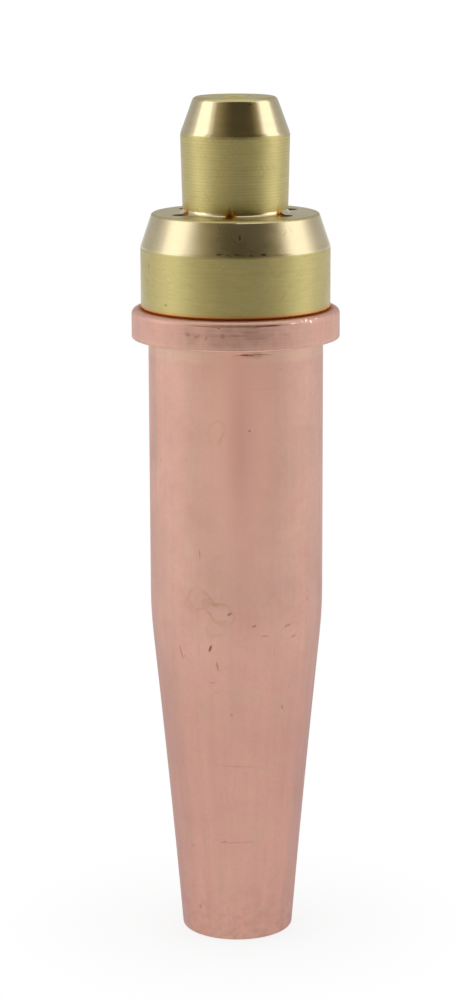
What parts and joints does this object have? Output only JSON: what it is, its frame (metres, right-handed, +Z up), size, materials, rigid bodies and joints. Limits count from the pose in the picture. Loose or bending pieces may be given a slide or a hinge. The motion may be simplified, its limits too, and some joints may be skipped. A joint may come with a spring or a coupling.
{
  "type": "oxy fuel cutting tip",
  "caption": "Two-piece gas cutting tip: a brass insert with two seats, preheat ports and a fluted end, pressed into a tapered copper shell with a collar.",
  "frame": {"origin": "centre of the discharge end, which the tip stands on", "axes": "+Z up the tip's axis, from the discharge end towards the nose that goes into the torch head"},
  "size_m": [0.0184, 0.0184, 0.0762],
  "materials": {
    "copper_shell": "turned copper, satin",
    "brass_insert": "turned brass, satin with polished seats"
  },
  "bodies": {
    "root": {"copper_shell": "copper_shell", "brass_insert": "brass_insert"}
  },
  "joints": []
}
